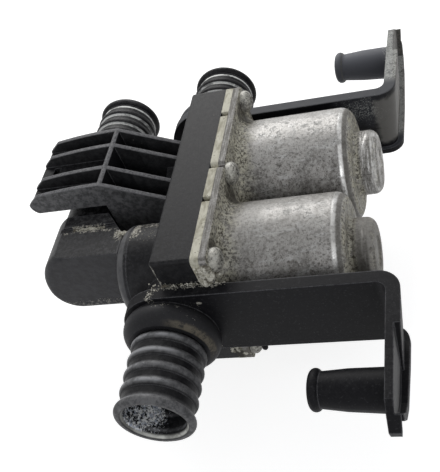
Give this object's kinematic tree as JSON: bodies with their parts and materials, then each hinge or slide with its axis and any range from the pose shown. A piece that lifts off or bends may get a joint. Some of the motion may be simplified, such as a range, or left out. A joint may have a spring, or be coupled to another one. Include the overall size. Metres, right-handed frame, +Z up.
{
  "type": "heater control valve",
  "caption": "Black moulded coolant valve block with ribbed foot, ringed hose nozzles, paired steel solenoid cans and rubber mounts with push-in pegs.",
  "frame": {"origin": "on the axis shared by the inlet nozzle and the rear outlet nozzle, midway between the two solenoids, which is the reference point of the pair of rubber mounts", "axes": "+X from the moulded block along the solenoids toward their closed ends, +Y from the inlet nozzle toward the two outlet nozzles, +Z up, toward the ribbed foot's crest"},
  "size_m": [0.1123, 0.1514, 0.0535],
  "materials": {
    "black_plastic": "matte glass-filled plastic",
    "elbow_plastic": "matte glass-filled plastic",
    "yoke_steel": "zinc-plated, chalky with white corrosion",
    "can_steel": "dull plated drawn steel, mottled",
    "bobbin_plastic": "matte",
    "copper_wire": "enamelled wire",
    "tube_steel": "satin",
    "core_steel": "ground",
    "stem_steel": "satin",
    "disc_brass": "machined",
    "seal_rubber": "smooth",
    "screw_steel": "zinc-plated, dulled",
    "mount_rubber": "matte",
    "socket_plastic": "matte",
    "pin_metal": "tinned"
  },
  "bodies": {
    "valve": {"valve_body": "black_plastic", "outlet_elbow": "elbow_plastic", "yoke_plate_front": "yoke_steel", "yoke_plate_rear": "yoke_steel", "solenoid_can_front": "can_steel", "solenoid_can_rear": "can_steel", "coil_bobbin_front": "bobbin_plastic", "coil_bobbin_rear": "bobbin_plastic", "coil_winding_front": "copper_wire", "coil_winding_rear": "copper_wire", "guide_tube_front": "tube_steel", "guide_tube_rear": "tube_steel", "fixed_core_front": "core_steel", "fixed_core_rear": "core_steel", "tube_seal_front": "seal_rubber", "tube_seal_rear": "seal_rubber", "return_spring_front": "stem_steel", "return_spring_rear": "stem_steel", "flange_screws": "screw_steel", "rubber_mount_front": "mount_rubber", "rubber_mount_rear": "mount_rubber", "socket_housing": "socket_plastic", "terminal_pins": "pin_metal"},
    "front_plunger": {"plunger_front": "core_steel", "valve_stem_front": "stem_steel", "valve_disc_front": "disc_brass", "valve_seal_front": "seal_rubber"},
    "rear_plunger": {"plunger_rear": "core_steel", "valve_stem_rear": "stem_steel", "valve_disc_rear": "disc_brass", "valve_seal_rear": "seal_rubber"}
  },
  "joints": [
    {"name": "front_valve_stroke", "type": "slide", "parent": "valve", "child": "front_plunger", "axis": [1, 0, 0], "range_m": [0, 0.0029], "stiffness_N_per_m": 250, "springref_m": -0.005, "deforming": ["return_spring_front"]},
    {"name": "rear_valve_stroke", "type": "slide", "parent": "valve", "child": "rear_plunger", "axis": [1, 0, 0], "range_m": [0, 0.0029], "stiffness_N_per_m": 250, "springref_m": -0.005, "deforming": ["return_spring_rear"]}
  ]
}
